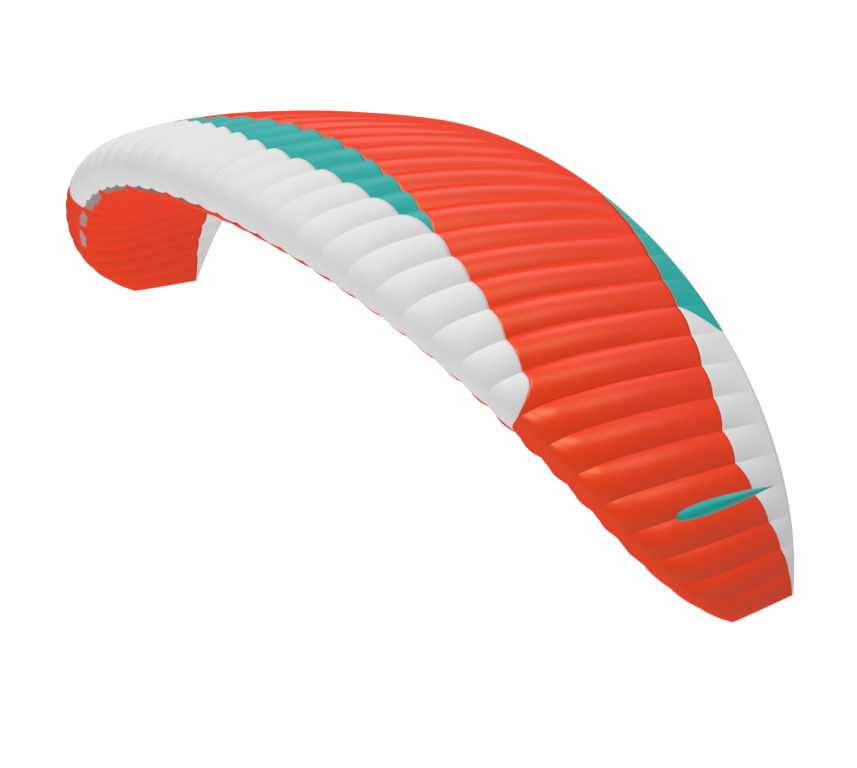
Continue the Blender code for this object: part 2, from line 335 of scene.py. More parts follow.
ARC = arc_table()


def arc_at(s):
    """Place and lean of the rib plane at s, which runs from 0 in the middle to 1 at a tip."""
    table, x, z, lean = ARC
    return np.interp(s, table, x), np.interp(s, table, z), np.interp(s, table, lean)


def chord_at(s):
    """Chord of the wing at s."""
    return ROOT_CHORD * (1.0 - power_sum(CHORD_LOSS, s))


def tip_thinning(s):
    """Share of its thickness that the wing keeps at s: it closes to an edge at the tips."""
    return np.sqrt(1.0 - (1.0 - TIP_THICKNESS**2) * s**TIP_POWER)


def smooth_step(x, start, end):
    """0 before start, 1 after end, and a smooth rise between them."""
    ramp = np.clip((x - start) / (end - start), 0.0, 1.0)
    return ramp * ramp * (3.0 - 2.0 * ramp)


def profile(s, q):
    """Height of the skin over the chord line, in fractions of the chord."""
    x = q * q
    root, first, second, third, fourth = THICKNESS_FORM
    half = root * np.abs(q) + first * x + second * x**2 + third * x**3 + fourth * x**4
    half = FORM_SCALE * THICKNESS * half
    p = CAMBER_PLACE
    front = CAMBER / p**2 * (2 * p * x - x**2)
    rear = CAMBER / (1 - p) ** 2 * ((1 - 2 * p) + 2 * p * x - x**2)
    camber = np.where(x < p, front, rear)
    ramp = np.clip((x - BELLY_START) / BELLY_LENGTH, 0.0, 1.0)
    flattening = BELLY_FLATTENING * (1.0 - ROUNDER_TIPS * smooth_step(s, *ROUNDER_SPAN))
    belly = (camber - half) * (1.0 - flattening * ramp * ramp * (3.0 - 2.0 * ramp))
    chin = smooth_step(x, *CHIN_RISE) * (1.0 - smooth_step(x, *CHIN_FALL))
    belly = belly - CHIN * chin * (1.0 - smooth_step(s, *CHIN_END))
    return np.where(q >= 0.0, camber + half, belly)


def section_point(s, q):
    """Place in the rib plane at s: y, and the height over the arc, with the twist in it."""
    chord = chord_at(s)
    pivot = TWIST_PIVOT * chord
    twist = power_sum(TWIST, s)
    along = q * q * chord - pivot
    height = profile(s, q) * chord * tip_thinning(s)
    height = height + EDGE_HALF_HEIGHT * np.clip(q / EDGE_FADE, -1.0, 1.0)
    y = along * np.cos(twist) + height * np.sin(twist) + pivot + power_sum(NOSE_SWEEP, s)
    return y, height * np.cos(twist) - along * np.sin(twist)


def smooth_point(a, q):
    """Place on the outer face of the wing without the swelling between the ribs."""
    s = np.abs(a)
    x, z, lean = arc_at(s)
    y, height = section_point(s, q)
    across = np.where(a < 0.0, -1.0, 1.0) * (x + height * np.sin(lean))
    return np.stack((across, y, z + height * np.cos(lean)), axis=-1)


DATUM = smooth_point(np.array(0.0), np.array(-math.sqrt(DATUM_PLACE)))


def cell_start(j):
    """The rib on the starboard side of the cell at rib coordinate j."""
    return np.minimum(np.floor(j), CELLS - 1)


def rib_place(j):
    """a at rib coordinate j."""
    low = cell_start(j)
    first = power_sum(RIB_PLACES, (low - CENTRE) / CENTRE)
    second = power_sum(RIB_PLACES, (low + 1 - CENTRE) / CENTRE)
    return first + (second - first) * (j - low)


def cell_width(j):
    """Distance between the ribs of the cell at j, along the arc."""
    low = cell_start(j)
    return (rib_place(low + 1) - rib_place(low)) * HALF_SPAN


def outward_at(a, q):
    """Unit vector that points out of the wing."""
    along_span = smooth_point(a + DIFFERENCE, q) - smooth_point(a - DIFFERENCE, q)
    along_chord = smooth_point(a, q + DIFFERENCE) - smooth_point(a, q - DIFFERENCE)
    outward = np.cross(along_span, along_chord)
    return outward / np.linalg.norm(outward, axis=-1, keepdims=True)


def from_tip(j):
    """Rib coordinate counted from the nearer tip."""
    return np.minimum(j, CELLS - j)


def seam_at(table, column, j):
    """A column of one of the tables of ribs, at rib coordinate j."""
    rows = np.array(table)
    return np.interp(from_tip(j), rows[:, 0], rows[:, column])


def fullness_at(j, q):
    """Height of the swelling over the cell's width: fuller on top than at the nose and below."""
    nose = UPPER_BILLOW * NOSE_BILLOW
    ramp = smooth_step(q, 0.0, math.sqrt(NOSE_BILLOW_END))
    run = smooth_step(q * q, NOSE_LIP, seam_at(LOWER_FULL, 1, j))
    lower = nose + (LOWER_BILLOW - nose) * run
    return np.where(q < 0.0, lower, nose + (UPPER_BILLOW - nose) * ramp)


def fade_at(j, q):
    """1 along most of the chord, falling to 0 on the trailing edge, and less at the tips."""
    return (1.0 - (q * q) ** BILLOW_FADE) * tip_thinning(np.abs(rib_place(j)))


def billow(j, q):
    """Height of the swelling between the ribs, zero on the ribs and the trailing edge."""
    share = j - cell_start(j)
    hump = HUMP_SCALE * share * (1.0 - share)
    return hump * cell_width(j) * fullness_at(j, q) * fade_at(j, q)


def skin_point(j, q):
    """Place on the outer face of the swollen skin."""
    a = rib_place(j)
    return smooth_point(a, q) + outward_at(a, q) * billow(j, q)[..., None] - DATUM


def spread(ends, counts):
    """q from each end to the next in equal steps: a row of stations for every j."""
    stations = [ends[0]]
    for start, end, count in zip(ends, ends[1:], counts):
        stations += [start + (end - start) * k / count for k in range(1, count + 1)]
    return np.stack(stations, axis=1)


def lip_at(j):
    """Chord fraction of the nose's lower edge, which is cut back a little at each rib."""
    share = j - cell_start(j)
    notch = np.abs(2.0 * share - 1.0) ** NOTCH_POWER
    lip = NOSE_LIP + (LIP_NOTCH - NOSE_LIP) * notch
    return np.where(from_tip(j) > FIRST_INTAKE, lip, NOSE_LIP)


def mouth_depth(j):
    """0 where the lower skin reaches the nose lip, 1 where its edge lies at the intake's rear."""
    place = from_tip(j)
    ends = np.array(MOUTH_GROUPS, dtype=float)
    group = np.clip(np.searchsorted(ends, place, side="right") - 1, 0, len(ends) - 2)
    start, end = ends[group] + WIDE_TONGUE, ends[group + 1] - WIDE_TONGUE
    middle = np.clip((place - start) / (end - start), 0.0, 1.0)
    depth = 1.0 - np.abs(2.0 * middle - 1.0) ** MOUTH_POWER
    return np.where(place > FIRST_INTAKE, depth, 0.0)


def mouth_rear(j):
    """Chord fraction of the lower skin's front edge."""
    lip = lip_at(j)
    return lip + (seam_at(INTAKE_REARS, 1, j) - lip) * mouth_depth(j)


def lip_place(j):
    """q of the nose panel's lower edge."""
    return -np.sqrt(lip_at(j))


def mouth_place(j):
    """q of the lower skin's front edge."""
    return -np.sqrt(mouth_rear(j))


def upper_seam(column):
    """A function that gives q of one of the upper skin's seams at rib coordinate j."""

    def place(j):
        return np.sqrt(seam_at(UPPER_SEAMS, column, j))

    return place


def lower_seam(j):
    """q of the front of the lower tail panels."""
    return -np.sqrt(seam_at(LOWER_SEAMS, 1, j))


def upper_stations(j):
    """q of the upper skin's rows, from the lip under the nose to the trailing edge."""
    seams = [upper_seam(k)(j) for k in (NOSE_REAR, BAND_REAR, TAIL_FRONT, TAIL_SPLIT)]
    ends = (lip_place(j), *seams, np.ones_like(j))
    return spread(ends, (NOSE_ROWS, BAND_ROWS, MAIN_ROWS, *TAIL_ROWS))


def lower_stations(j):
    """q of the lower skin's rows, from the trailing edge to its front edge."""
    ends = (-np.ones_like(j), lower_seam(j), mouth_place(j))
    return spread(ends, (LOWER_TAIL_ROWS, BELLY_ROWS))


# --- cloth panels --------------------------------------------------------------------------


def side_name(cell):
    """The half of the wing that a cell lies in."""
    return "starboard" if cell < CENTRE else "port"


def cells_from_tip(cell):
    """How many cells lie between a cell and the nearer tip."""
    return min(cell, CELLS - 1 - cell)


def upper_panel(cell, row):
    """Name of the panel that a patch of the upper skin belongs to."""
    out = cells_from_tip(cell)
    side = side_name(cell)
    tail = row - NOSE_ROWS - BAND_ROWS - MAIN_ROWS
    if tail >= 0 and out < LAST_TAIL_TEAL:
        split = tail >= TAIL_ROWS[0]
        teal = out > FIRST_TAIL_TEAL or (out == FIRST_TAIL_TEAL and split)
        return f"tail_teal_{side}" if teal else f"tail_white_{side}"
    if out < FIRST_NOSE_PANEL:
        return f"tip_upper_{side}"
    if row < NOSE_ROWS:
        return f"nose_panel_{side}"
    if row < NOSE_ROWS + BAND_ROWS and out >= FIRST_BAND:
        return "band_panel"
    return "main_upper"


def lower_panel(cell, row):
    """Name of the panel that a patch of the lower skin belongs to."""
    out = cells_from_tip(cell)
    side = side_name(cell)
    if row < LOWER_TAIL_ROWS and out < LAST_LOWER_TAIL:
        return f"tail_lower_{side}"
    if out < FIRST_INTAKE:
        return f"tip_lower_{side}"
    return f"main_lower_{side}"


def column_places(columns):
    """j of the grid's columns, closer together beside the ribs, where the cloth creases."""
    share = 0.5 - 0.5 * np.cos(np.pi * np.arange(columns) / columns)
    return np.append((np.arange(CELLS)[:, None] + share).ravel(), float(CELLS))


def skin_grid(columns, stations):
    """Places of one skin's grid before it swells, facts about each point, and its rows."""
    j = column_places(columns)
    q = stations(j)
    j = np.repeat(j[:, None], q.shape[1], axis=1)
    a = rib_place(j)
    fade = fade_at(j, q)
    places = smooth_point(a, q) - DATUM
    steps = np.linalg.norm(np.diff(places, axis=1), axis=2)
    along = np.concatenate((np.zeros((len(j), 1)), np.cumsum(steps, axis=1)), axis=1)
    nose = along[np.arange(len(j)), np.abs(q).argmin(axis=1)]
    facts = {
        "share": j - cell_start(j),
        "swelling": cell_width(j) * fullness_at(j, q) * fade,
        "fade": fade,
        "outward": outward_at(a, q),
        "across": a * HALF_SPAN,
        "along": along - nose[:, None],
    }
    for fact, values in facts.items():
        facts[fact] = values.reshape(-1, 3) if values.ndim == 3 else values.ravel()
    return places.reshape(-1, 3), facts, q.shape[1]


def panel_patches(columns, rows, panel_of):
    """Corners of each panel's patches, in the order that makes them face outwards."""
    patches = {}
    for step in range(CELLS * columns):
        cell = step // columns
        for row in range(rows - 1):
            first = step * rows + row
            patch = (first, first + rows, first + rows + 1, first + 1)
            patches.setdefault(panel_of(cell, row), []).append(patch)
    return patches


def grid_mesh(name, places, facts, patches):
    """A mesh of some patches of a grid, with facts as attributes and its cut as a UV map."""
    patches = np.array(patches)
    used, corners = np.unique(patches, return_inverse=True)
    mesh = bpy.data.meshes.new(name)
    mesh.from_pydata(places[used].tolist(), [], corners.reshape(-1, 4).tolist())
    for fact, values in facts.items():
        kind = "FLOAT_VECTOR" if values.ndim == 2 else "FLOAT"
        store = mesh.attributes.new(fact, kind, "POINT")
        field = "vector" if values.ndim == 2 else "value"
        store.data.foreach_set(field, values[used].astype(np.float32).ravel())
    layer = mesh.uv_layers.new(name="cut")
    corner_points = used[corners.ravel()]
    layout = np.stack((facts["across"][corner_points], facts["along"][corner_points]), axis=1)
    layer.uv.foreach_set("vector", layout.astype(np.float32).ravel())
    mesh.shade_smooth()
    return mesh


class Tree:
    """A node tree being built: add() makes a node with its inputs and links set by name."""

    def __init__(self, tree):
        self.tree = tree

    def add(self, kind, inputs=None, **settings):
        node = self.tree.nodes.new(kind)
        for key, value in settings.items():
            setattr(node, key, value)
        for key, value in (inputs or {}).items():
            socket = node.inputs[key]
            if isinstance(value, bpy.types.NodeSocket):
                self.link(value, socket)
            else:
                socket.default_value = value
        return node

    def link(self, start, end):
        self.tree.links.new(start, end)

    def math(self, operation, first, second=0.0):
        """One sum; a value may be a number or a socket."""
        return self.add("ShaderNodeMath", {0: first, 1: second}, operation=operation).outputs[0]

    def attribute(self, name, kind="FLOAT"):
        """A fact that the mesh carries at its points."""
        node = self.add("GeometryNodeInputNamedAttribute", {"Name": name}, data_type=kind)
        return node.outputs["Attribute"]

    def colours(self, share, first, second, blend="MIX"):
        """Two colours mixed by a share; 6 and 7 are the node's sockets for colours."""
        inputs = {0: share, 6: first, 7: second}
        node = self.add("ShaderNodeMix", inputs, data_type="RGBA", blend_type=blend)
        return node.outputs[2]

    def finish(self, geometry, material):
        """Ends a Geometry Nodes tree in real geometry with one material."""
        real = self.add("GeometryNodeRealizeInstances", {"Geometry": geometry})
        inputs = {"Geometry": real.outputs[0], "Material": material}
        dyed = self.add("GeometryNodeSetMaterial", inputs)
        self.add("NodeGroupOutput", {"Geometry": dyed.outputs[0]})


def new_socket(tree, name, kind, output=False, value=None):
    """A named input or output of a node group."""
    way = "OUTPUT" if output else "INPUT"
    socket = tree.interface.new_socket(name=name, in_out=way, socket_type=kind)
    if value is not None:
        socket.default_value = value
    return socket


def swelling_tree():
    """Blows each cell up between its ribs, and puckers the cloth beside the rib seams."""
    group = bpy.data.node_groups.new("cell_swelling", "GeometryNodeTree")
    new_socket(group, "Geometry", "NodeSocketGeometry")
    new_socket(group, "Geometry", "NodeSocketGeometry", output=True)
    new_socket(group, "Fullness", "NodeSocketFloat", value=1.0)
    new_socket(group, "Pucker", "NodeSocketFloat", value=PUCKER)
    new_socket(group, "Pucker Pitch", "NodeSocketFloat", value=PUCKER_PITCH)
    new_socket(group, "Pucker Drift", "NodeSocketFloat", value=PUCKER_DRIFT)
    new_socket(group, "Cloth", "NodeSocketMaterial")
    tree = Tree(group)
    given = tree.add("NodeGroupInput").outputs
    share = tree.attribute("share")
    rest = tree.math("SUBTRACT", 1.0, share)
    hump = tree.math("MULTIPLY", tree.math("MULTIPLY", share, rest), HUMP_SCALE)
    height = tree.math("MULTIPLY", hump, tree.attribute("swelling"))
    height = tree.math("MULTIPLY", height, given["Fullness"])
    turns = tree.math("DIVIDE", tree.attribute("along"), given["Pucker Pitch"])
    turns = tree.math("MULTIPLY", turns, 2.0 * math.pi)
    across = tree.math("MULTIPLY", tree.attribute("across"), given["Pucker Drift"])
    wave = tree.math("SINE", tree.math("ADD", turns, tree.math("SINE", across)))
    near = tree.math("POWER", tree.math("SUBTRACT", 1.0, hump), PUCKER_POWER)
    onset = tree.math("MINIMUM", tree.math("MULTIPLY", hump, PUCKER_ONSET), 1.0)
    near = tree.math("MULTIPLY", near, onset)
    near = tree.math("MULTIPLY", near, tree.attribute("fade"))
    pucker = tree.math("MULTIPLY", tree.math("MULTIPLY", wave, near), given["Pucker"])
    height = tree.math("ADD", height, pucker)
    outward = tree.attribute("outward", "FLOAT_VECTOR")
    push = tree.add("ShaderNodeVectorMath", {0: outward, "Scale": height}, operation="SCALE")
    inputs = {"Geometry": given["Geometry"], "Offset": push.outputs[0]}
    moved = tree.add("GeometryNodeSetPosition", inputs)
    tree.finish(moved.outputs[0], given["Cloth"])
    return group


def set_input(modifier, name, value):
    """Sets a named input of a Geometry Nodes modifier."""
    for socket in modifier.node_group.interface.items_tree:
        if socket.item_type == "SOCKET" and socket.in_out == "INPUT" and socket.name == name:
            modifier[socket.identifier] = value
            return
    raise ValueError(f"{modifier.node_group.name} has no input {name}")


def add_object(name, content):
    """An object at the origin, in the scene, around a mesh, a light or a camera."""
    thing = bpy.data.objects.new(name, content)
    bpy.context.scene.collection.objects.link(thing)
    return thing


def made_plain(thing):
    """Makes what the modifiers give the object's own mesh, and takes them off."""
    bpy.context.view_layer.update()
    graph = bpy.context.evaluated_depsgraph_get()
    mesh = bpy.data.meshes.new_from_object(thing.evaluated_get(graph))
    thing.modifiers.clear()
    old = thing.data
    thing.data = mesh
    mesh.name = thing.name
    bpy.data.meshes.remove(old)


def face_outwards(mesh):
    """Turns the faces of a closed mesh outwards."""
    turned = bmesh.new()
    turned.from_mesh(mesh)
    bmesh.ops.recalc_face_normals(turned, faces=turned.faces[:])
    turned.to_mesh(mesh)
    turned.free()


def add_panel(name, node, mesh, swelling, material, inside):
    """One sewn panel: swollen, given the cloth's thickness, and put in its node's stead."""
    panel = add_object(name, mesh)
    swell = panel.modifiers.new("swelling", "NODES")
    swell.node_group = swelling
    set_input(swell, "Cloth", material)
    cloth = panel.modifiers.new("cloth", "SOLIDIFY")
    cloth.thickness = SKIN
    cloth.offset = -1.0
    cloth.use_even_offset = True
    cloth.material_offset = 1
    made_plain(panel)
    panel.data.materials.append(inside)
    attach(panel, "root")
    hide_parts(node)
    return panel


def cloth_area(mesh):
    """Area of one side of a panel of cloth: half of what both its sides measure."""
    corners = np.empty(len(mesh.loops), dtype=np.int32)
    mesh.loops.foreach_get("vertex_index", corners)
    points = np.empty(len(mesh.vertices) * 3, dtype=np.float32)
    mesh.vertices.foreach_get("co", points)
    points = points.reshape(-1, 3)[corners.reshape(-1, 4)]
    first = np.cross(points[:, 1] - points[:, 0], points[:, 2] - points[:, 0])
    second = np.cross(points[:, 2] - points[:, 0], points[:, 3] - points[:, 0])
    both = (np.linalg.norm(first, axis=1) + np.linalg.norm(second, axis=1)).sum() / 2
    return float(both) / 2


# --- ribs and winglets ---------------------------------------------------------------------


def rib_plane(j):
    """Axes of rib j's plane: its place, the way its height runs, and the way across it."""
    a = rib_place(j)
    side = -1.0 if a < 0.0 else 1.0
    x, z, lean = (float(v) for v in arc_at(abs(a)))
    place = np.array((side * x, 0.0, z)) - DATUM
    height = np.array((side * math.sin(lean), 0.0, math.cos(lean)))
    across = np.array((math.cos(lean), 0.0, -side * math.sin(lean)))
    return place, height, across


def drawn_in(outline, distance):
    """The closed outline moved inwards by a distance; it runs anticlockwise."""
    after = np.roll(outline, -1, axis=0) - outline
    after = after / np.linalg.norm(after, axis=1, keepdims=True)
    before = np.roll(after, 1, axis=0)
    first = np.stack((-before[:, 1], before[:, 0]), axis=1)
    second = np.stack((-after[:, 1], after[:, 0]), axis=1)
    share = 1.0 + (first * second).sum(axis=1, keepdims=True)
    return outline + (first + second) * distance / share


def rib_outline(j):
    """Upper and lower edge of rib j in its own plane, inside the skins."""
    s = abs(rib_place(j))
    ends = np.linspace(0.0, math.sqrt(RIB_END), RIB_ROWS + 1)
    upper = np.stack(section_point(s, ends), axis=1)
    lower = np.stack(section_point(s, -ends), axis=1)
    nose = (upper[:1] + lower[:1]) / 2.0
    outline = np.vstack((upper[:0:-1], nose, lower[1:]))
    # The swept nose meets the rib's plane at a slant, so the cloth is thicker along that plane
    rise = power_sum(NOSE_SWEEP, s + DIFFERENCE) - power_sum(NOSE_SWEEP, s)
    slant = math.hypot(1.0, rise / (DIFFERENCE * HALF_SPAN))
    outline = drawn_in(outline, (SKIN + RIB_MARGIN) * slant)
    return outline[RIB_ROWS::-1], outline[RIB_ROWS:]


def add_rib(j, material):
    """Rib j: a flat profile of cloth that stands between the two skins."""
    upper, lower = rib_outline(j)
    place, height, across = rib_plane(j)
    flat = np.vstack((upper, lower[1:]))
    middle = place + flat[:, :1] * CHORDWISE + flat[:, 1:] * height
    count = len(flat)
    points = np.vstack((middle + across * RIB_CLOTH / 2, middle - across * RIB_CLOTH / 2))
    above = list(range(len(upper)))
    below = [0] + list(range(len(upper), count))
    faces = []
    for k in range(len(upper) - 1):
        corners = (above[k], above[k + 1], below[k + 1], below[k])
        corners = list(dict.fromkeys(corners))
        faces.append([c + count for c in corners])
        faces.append(corners[::-1])
    rim = above + below[:0:-1]
    for here, ahead in zip(rim, rim[1:] + rim[:1]):
        faces.append((here, ahead, ahead + count, here + count))
    mesh = bpy.data.meshes.new(f"rib_profile_{j:02d}")
    mesh.from_pydata(points.tolist(), [], faces)
    face_outwards(mesh)
    mesh.materials.append(material)
    rib = add_object(mesh.name, mesh)
    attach(rib, "root")
    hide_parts(f"rib_{j:02d}")


def smooth_curve(x, y, places):
    """Values of a smooth curve through given points (Catmull-Rom)."""
    slope = np.gradient(y, x)
    k = np.clip(np.searchsorted(x, places, side="right") - 1, 0, len(x) - 2)
    step = x[k + 1] - x[k]
    t = (places - x[k]) / step
    first = (2 * t**3 - 3 * t**2 + 1) * y[k] + (t**3 - 2 * t**2 + t) * step * slope[k]
    second = (3 * t**2 - 2 * t**3) * y[k + 1] + (t**3 - t**2) * step * slope[k + 1]
    return first + second


def winglet_rings(j):
    """Closed rounds of the fin over rib j, from its foot to its top, each from its nose."""
    levels = np.linspace(0.0, 1.0, WINGLET_LEVELS + 1)
    shape = np.array(WINGLET_SECTIONS)
    front, rear, width = (smooth_curve(shape[:, 0], shape[:, k], levels) for k in (1, 2, 3))
    share = 0.5 - 0.5 * np.cos(np.pi * np.arange(WINGLET_STEPS + 1) / WINGLET_STEPS)
    fullness = share**WINGLET_BLUNTNESS * (1.0 - share)
    fullness = fullness / fullness.max()
    place, height, across = rib_plane(j)
    s = abs(rib_place(j))
    rings = []
    for level, fore, aft, half in zip(levels, front, rear, width):
        y, rise = section_point(s, np.sqrt(fore + share * (aft - fore)))
        rise = rise + WINGLET_LIFT + level * WINGLET_HEIGHT
        half = fullness * half * WINGLET_HALF_WIDTH
        y = np.concatenate((y, y[-2:0:-1]))
        rise = np.concatenate((rise, rise[-2:0:-1]))
        half = np.concatenate((half, -half[-2:0:-1]))
        ring = place + y[:, None] * CHORDWISE
        rings.append(ring + rise[:, None] * height + half[:, None] * across)
    return rings


def add_winglet(name, node, j, material):
    """An air-filled fin of cloth that stands on the seam of rib j."""
    rings = winglet_rings(j)
    count = len(rings[0])
    faces = []
    for level in range(len(rings) - 1):
        for k in range(count):
            n = (k + 1) % count
            low, high = level * count, (level + 1) * count
            faces.append((low + k, low + n, high + n, high + k))
    for start in (0, (len(rings) - 1) * count):
        for k in range(WINGLET_STEPS):
            corners = (k, k + 1, (count - k - 1) % count, (count - k) % count)
            faces.append([start + c for c in dict.fromkeys(corners)])
    mesh = bpy.data.meshes.new(name)
    mesh.from_pydata(np.vstack(rings).tolist(), [], faces)
    face_outwards(mesh)
    mesh.shade_smooth()
    mesh.materials.append(material)
    fin = add_object(name, mesh)
    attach(fin, "root")
    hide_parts(node)
    # The light is soft, so the fin neither shades nor tints the skin beside it
    fin.visible_shadow = False
    fin.visible_diffuse = False


# --- sewing --------------------------------------------------------------------------------


def stitch_tree():
    """Lays short threads end to end along the lines it is given."""
    group = bpy.data.node_groups.new("stitch_rows", "GeometryNodeTree")
    new_socket(group, "Geometry", "NodeSocketGeometry")
    new_socket(group, "Geometry", "NodeSocketGeometry", output=True)
    new_socket(group, "Pitch", "NodeSocketFloat", value=STITCH_PITCH)
    new_socket(group, "Stitch Length", "NodeSocketFloat", value=STITCH_LENGTH)
    new_socket(group, "Thread", "NodeSocketFloat", value=THREAD)
    new_socket(group, "Yarn", "NodeSocketMaterial")
    tree = Tree(group)
    given = tree.add("NodeGroupInput").outputs
    lines = tree.add("GeometryNodeMeshToCurve", {"Mesh": given["Geometry"]})
    inputs = {"Curve": lines.outputs[0], "Length": given["Pitch"]}
    spaced = tree.add("GeometryNodeResampleCurve", inputs, mode="LENGTH")
    inputs = {"Curve": spaced.outputs[0]}
    places = tree.add("GeometryNodeCurveToPoints", inputs, mode="EVALUATED")
    inputs = {"Vector": places.outputs["Tangent"]}
    turned = tree.add("FunctionNodeAlignRotationToVector", inputs, axis="Z")
    radius = tree.math("MULTIPLY", given["Thread"], 0.5)
    inputs = {"Vertices": THREAD_FACETS, "Radius": radius, "Depth": given["Stitch Length"]}
    thread = tree.add("GeometryNodeMeshCylinder", inputs)
    inputs = {
        "Points": places.outputs["Points"],
        "Instance": thread.outputs["Mesh"],
        "Rotation": turned.outputs["Rotation"],
    }
    laid = tree.add("GeometryNodeInstanceOnPoints", inputs)
    tree.finish(laid.outputs[0], given["Yarn"])
    return group


def sewn_line(start, end, place_of, offset):
    """Points on the skin from rib start to rib end, a distance along the chord off a seam."""
    j = np.linspace(start, end, int((end - start) * SEAM_STEPS) + 1)
    q = place_of(j)
    ahead = skin_point(j, q + DIFFERENCE) - skin_point(j, q - DIFFERENCE)
    speed = np.linalg.norm(ahead, axis=1) / (2.0 * DIFFERENCE)
    q = q + offset / speed
    return skin_point(j, q) + outward_at(rib_place(j), q) * THREAD * THREAD_STAND


def upper_lines():
    """Rows of stitches on the upper skin: its seams, the nose's lip and the trailing edge."""
    seams = (
        (FIRST_NOSE_PANEL, CELLS - FIRST_NOSE_PANEL, NOSE_REAR),
        (FIRST_BAND, CELLS - FIRST_BAND, BAND_REAR),
        (0, LAST_TAIL_TEAL, TAIL_FRONT),
        (CELLS - LAST_TAIL_TEAL, CELLS, TAIL_FRONT),
    )
    lines = []
    for start, end, column in seams:
        for offset in TWIN_ROWS:
            lines.append(sewn_line(start, end, upper_seam(column), offset))
    lines.append(sewn_line(FIRST_INTAKE, CELLS - FIRST_INTAKE, lip_place, HEM))
    lines.append(sewn_line(0, CELLS, np.ones_like, -HEM))
    return lines


def lower_lines():
    """Rows of stitches on the lower skin: the tail's seams and the hem behind the intakes."""
    lines = []
    for offset in TWIN_ROWS:
        lines.append(sewn_line(0, LAST_LOWER_TAIL, lower_seam, offset))
        lines.append(sewn_line(CELLS - LAST_LOWER_TAIL, CELLS, lower_seam, offset))
    lines.append(sewn_line(FIRST_INTAKE, CELLS - FIRST_INTAKE, mouth_place, -HEM))
    return lines


def add_stitches(name, lines, stitches, yarn):
    """One piece of sewing along several lines."""
    points = []
    edges = []
    for line in lines:
        first = len(points)
        points += line.tolist()
        edges += [(k, k + 1) for k in range(first, len(points) - 1)]
    mesh = bpy.data.meshes.new(name)
    mesh.from_pydata(points, edges, [])
    sewing = add_object(name, mesh)
    sew = sewing.modifiers.new("sew", "NODES")
    sew.node_group = stitches
    set_input(sew, "Yarn", yarn)
    made_plain(sewing)
    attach(sewing, "root")


# --- materials, floor and light ------------------------------------------------------------


def ripstop_group():
    """Mask of the heavier threads woven into ripstop cloth, from the cut's metres."""
    group = bpy.data.node_groups.new("ripstop_weave", "ShaderNodeTree")
    new_socket(group, "Pitch", "NodeSocketFloat", value=WEAVE_PITCH)
    new_socket(group, "Thread", "NodeSocketFloat", value=WEAVE_THREAD)
    new_socket(group, "Mask", "NodeSocketFloat", output=True)
    tree = Tree(group)
    given = tree.add("NodeGroupInput").outputs
    layout = tree.add("ShaderNodeUVMap", uv_map="cut")
    parts = tree.add("ShaderNodeSeparateXYZ", {0: layout.outputs[0]})
    lines = []
    for axis in ("X", "Y"):
        turn = tree.math("FRACT", tree.math("DIVIDE", parts.outputs[axis], given["Pitch"]))
        lines.append(tree.math("LESS_THAN", turn, given["Thread"]))
    mask = tree.math("MAXIMUM", *lines)
    tree.add("NodeGroupOutput", {"Mask": mask})
    return group


def wear_group():
    """Slow changes over the cloth: a mask for its shade, and a height for soft creases."""
    group = bpy.data.node_groups.new("cloth_unevenness", "ShaderNodeTree")
    new_socket(group, "Size", "NodeSocketFloat", value=1.0)
    new_socket(group, "Mask", "NodeSocketFloat", output=True)
    new_socket(group, "Creases", "NodeSocketFloat", output=True)
    tree = Tree(group)
    given = tree.add("NodeGroupInput").outputs
    place = tree.add("ShaderNodeTexCoord").outputs["Object"]
    inputs = {0: place, "Scale": given["Size"]}
    scaled = tree.add("ShaderNodeVectorMath", inputs, operation="SCALE").outputs[0]
    inputs = {"Vector": scaled, "Scale": CLOUD_SCALE, "Detail": CLOUD_DETAIL}
    cloud = tree.add("ShaderNodeTexNoise", inputs)
    inputs = {"Vector": scaled, "Scale": CREASE_SCALE, "Detail": CREASE_DETAIL}
    fine = tree.add("ShaderNodeTexNoise", inputs)
    tree.add("NodeGroupOutput", {"Mask": cloud.outputs["Fac"], "Creases": fine.outputs["Fac"]})
    return group


def new_material(name):
    """A material with its Principled shader, and a tree to build on."""
    material = bpy.data.materials.new(name)
    material.use_nodes = True
    return material, material.node_tree.nodes["Principled BSDF"], Tree(material.node_tree)


